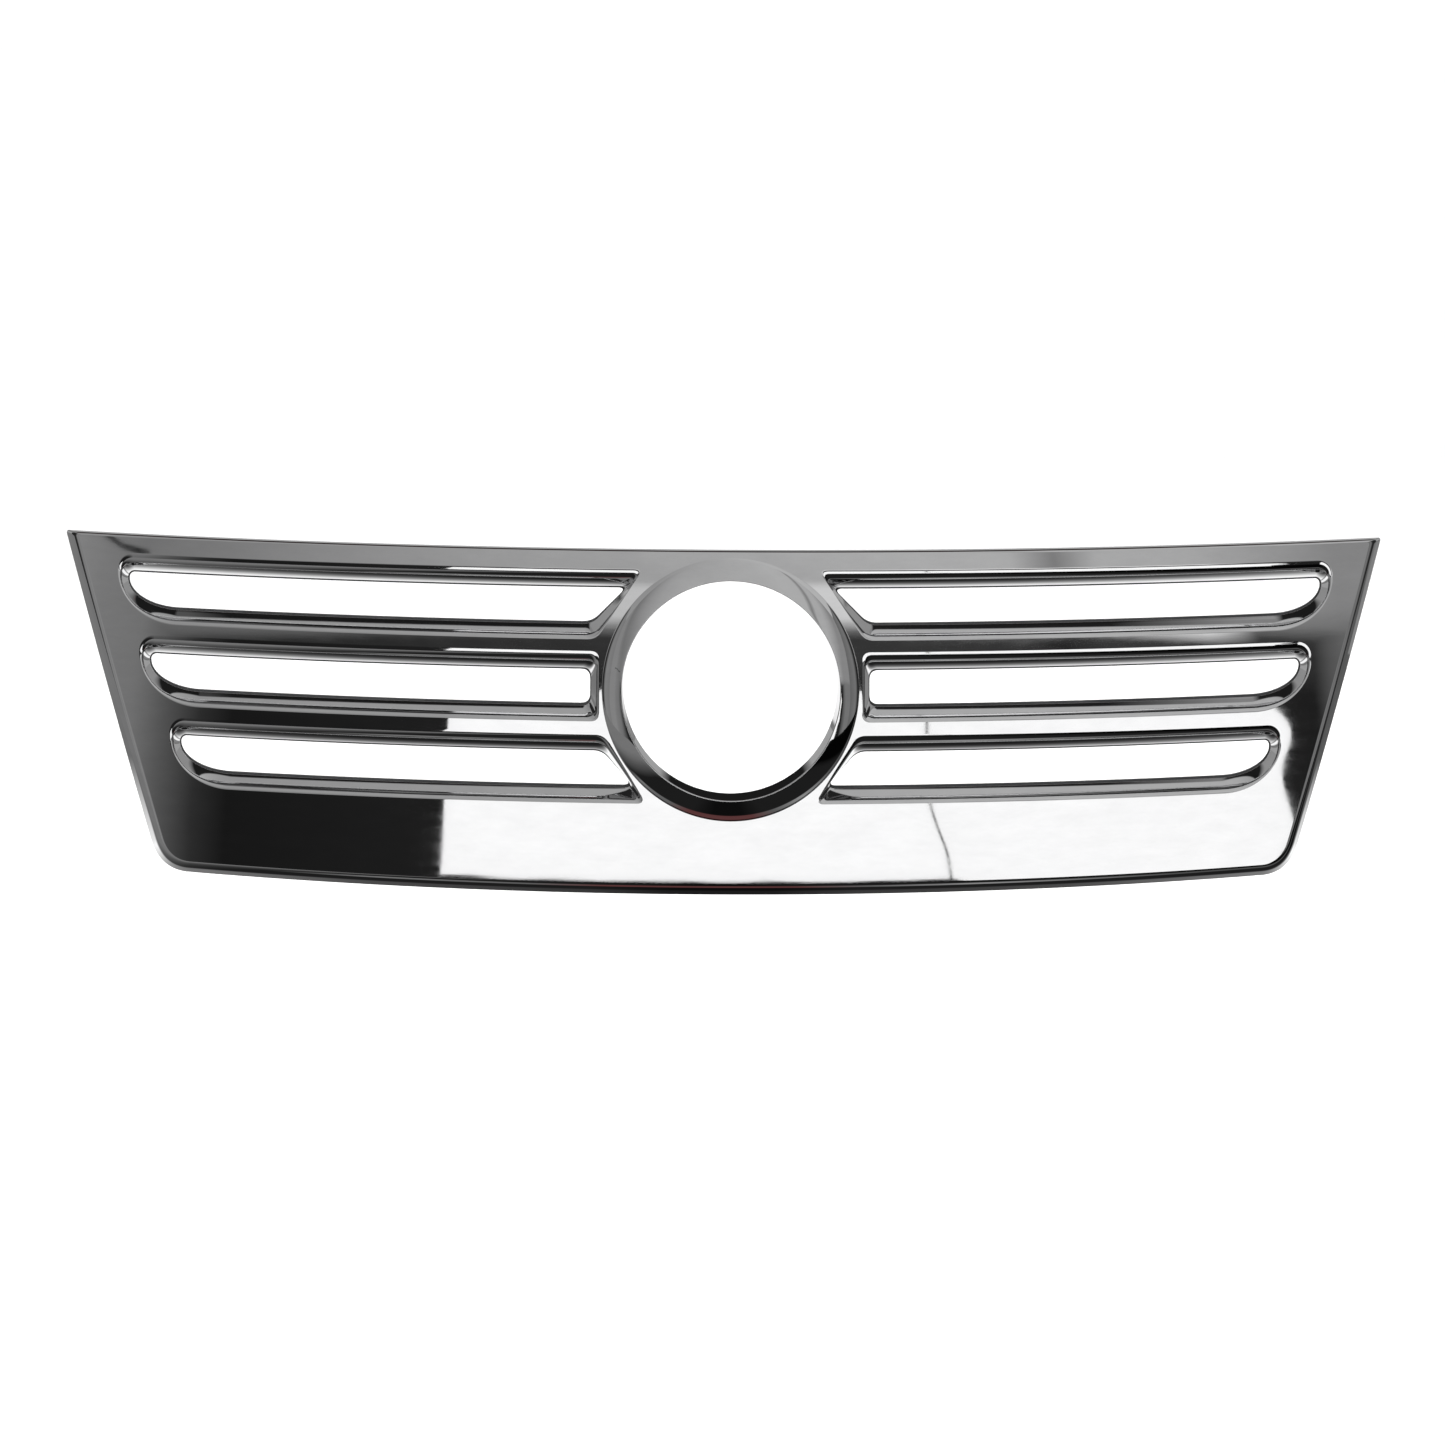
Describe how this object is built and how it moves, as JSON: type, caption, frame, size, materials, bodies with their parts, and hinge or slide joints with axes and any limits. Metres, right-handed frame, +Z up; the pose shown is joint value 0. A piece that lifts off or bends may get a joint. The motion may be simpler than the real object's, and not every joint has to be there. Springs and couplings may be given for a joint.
{
  "type": "front grille",
  "caption": "Bowed chrome-plated grille fascia with slots either side of a round badge aperture, on a black carrier frame with upper tabs, push retainers, spring clips and seals.",
  "frame": {"origin": "on the vehicle's centre plane, level with the undersides of the upper tabs, at the depth of the inner tabs' holes", "axes": "+X to the right for someone facing the chrome front, +Y to the rear of the vehicle, +Z up; the chrome face looks along -Y"},
  "size_m": [0.9024, 0.1523, 0.2245],
  "materials": {
    "chrome_plating": "polished",
    "black_plastic": "matte",
    "seal_rubber": "matte",
    "zinc_steel": "satin",
    "black_nylon": "satin",
    "spring_steel": "satin",
    "grommet_rubber": "matte",
    "pad_foam": "matte"
  },
  "bodies": {
    "grille": {"fascia_shell": "chrome_plating", "carrier_frame": "black_plastic", "badge_backing_ring": "black_plastic", "top_seal": "seal_rubber", "fascia_screw_left_1": "zinc_steel", "fascia_screw_left_2": "zinc_steel", "fascia_screw_left_3": "zinc_steel", "fascia_screw_left_4": "zinc_steel", "fascia_screw_left_5": "zinc_steel", "fascia_screw_left_6": "zinc_steel", "fascia_screw_right_1": "zinc_steel", "fascia_screw_right_2": "zinc_steel", "fascia_screw_right_3": "zinc_steel", "fascia_screw_right_4": "zinc_steel", "fascia_screw_right_5": "zinc_steel", "fascia_screw_right_6": "zinc_steel", "ring_screw_1": "zinc_steel", "ring_screw_2": "zinc_steel", "ring_screw_3": "zinc_steel", "ring_screw_4": "zinc_steel", "retainer_body_1": "black_nylon", "retainer_body_2": "black_nylon", "retainer_body_3": "black_nylon", "retainer_body_4": "black_nylon", "spring_clip_1": "spring_steel", "spring_clip_2": "spring_steel", "spring_clip_3": "spring_steel", "spring_clip_4": "spring_steel", "grommet_left": "grommet_rubber", "grommet_right": "grommet_rubber", "rest_pad_left": "pad_foam", "rest_pad_right": "pad_foam"},
    "retainer_pin_1": {"retainer_pin_1": "black_nylon"},
    "retainer_pin_2": {"retainer_pin_2": "black_nylon"},
    "retainer_pin_3": {"retainer_pin_3": "black_nylon"},
    "retainer_pin_4": {"retainer_pin_4": "black_nylon"}
  },
  "joints": [
    {"name": "retainer_pin_1_pull", "type": "slide", "parent": "grille", "child": "retainer_pin_1", "axis": [0, 0, 1], "range_m": [0, 0.006]},
    {"name": "retainer_pin_2_pull", "type": "slide", "parent": "grille", "child": "retainer_pin_2", "axis": [0, 0, 1], "range_m": [0, 0.006]},
    {"name": "retainer_pin_3_pull", "type": "slide", "parent": "grille", "child": "retainer_pin_3", "axis": [0, 0, 1], "range_m": [0, 0.006]},
    {"name": "retainer_pin_4_pull", "type": "slide", "parent": "grille", "child": "retainer_pin_4", "axis": [0, 0, 1], "range_m": [0, 0.006]}
  ]
}
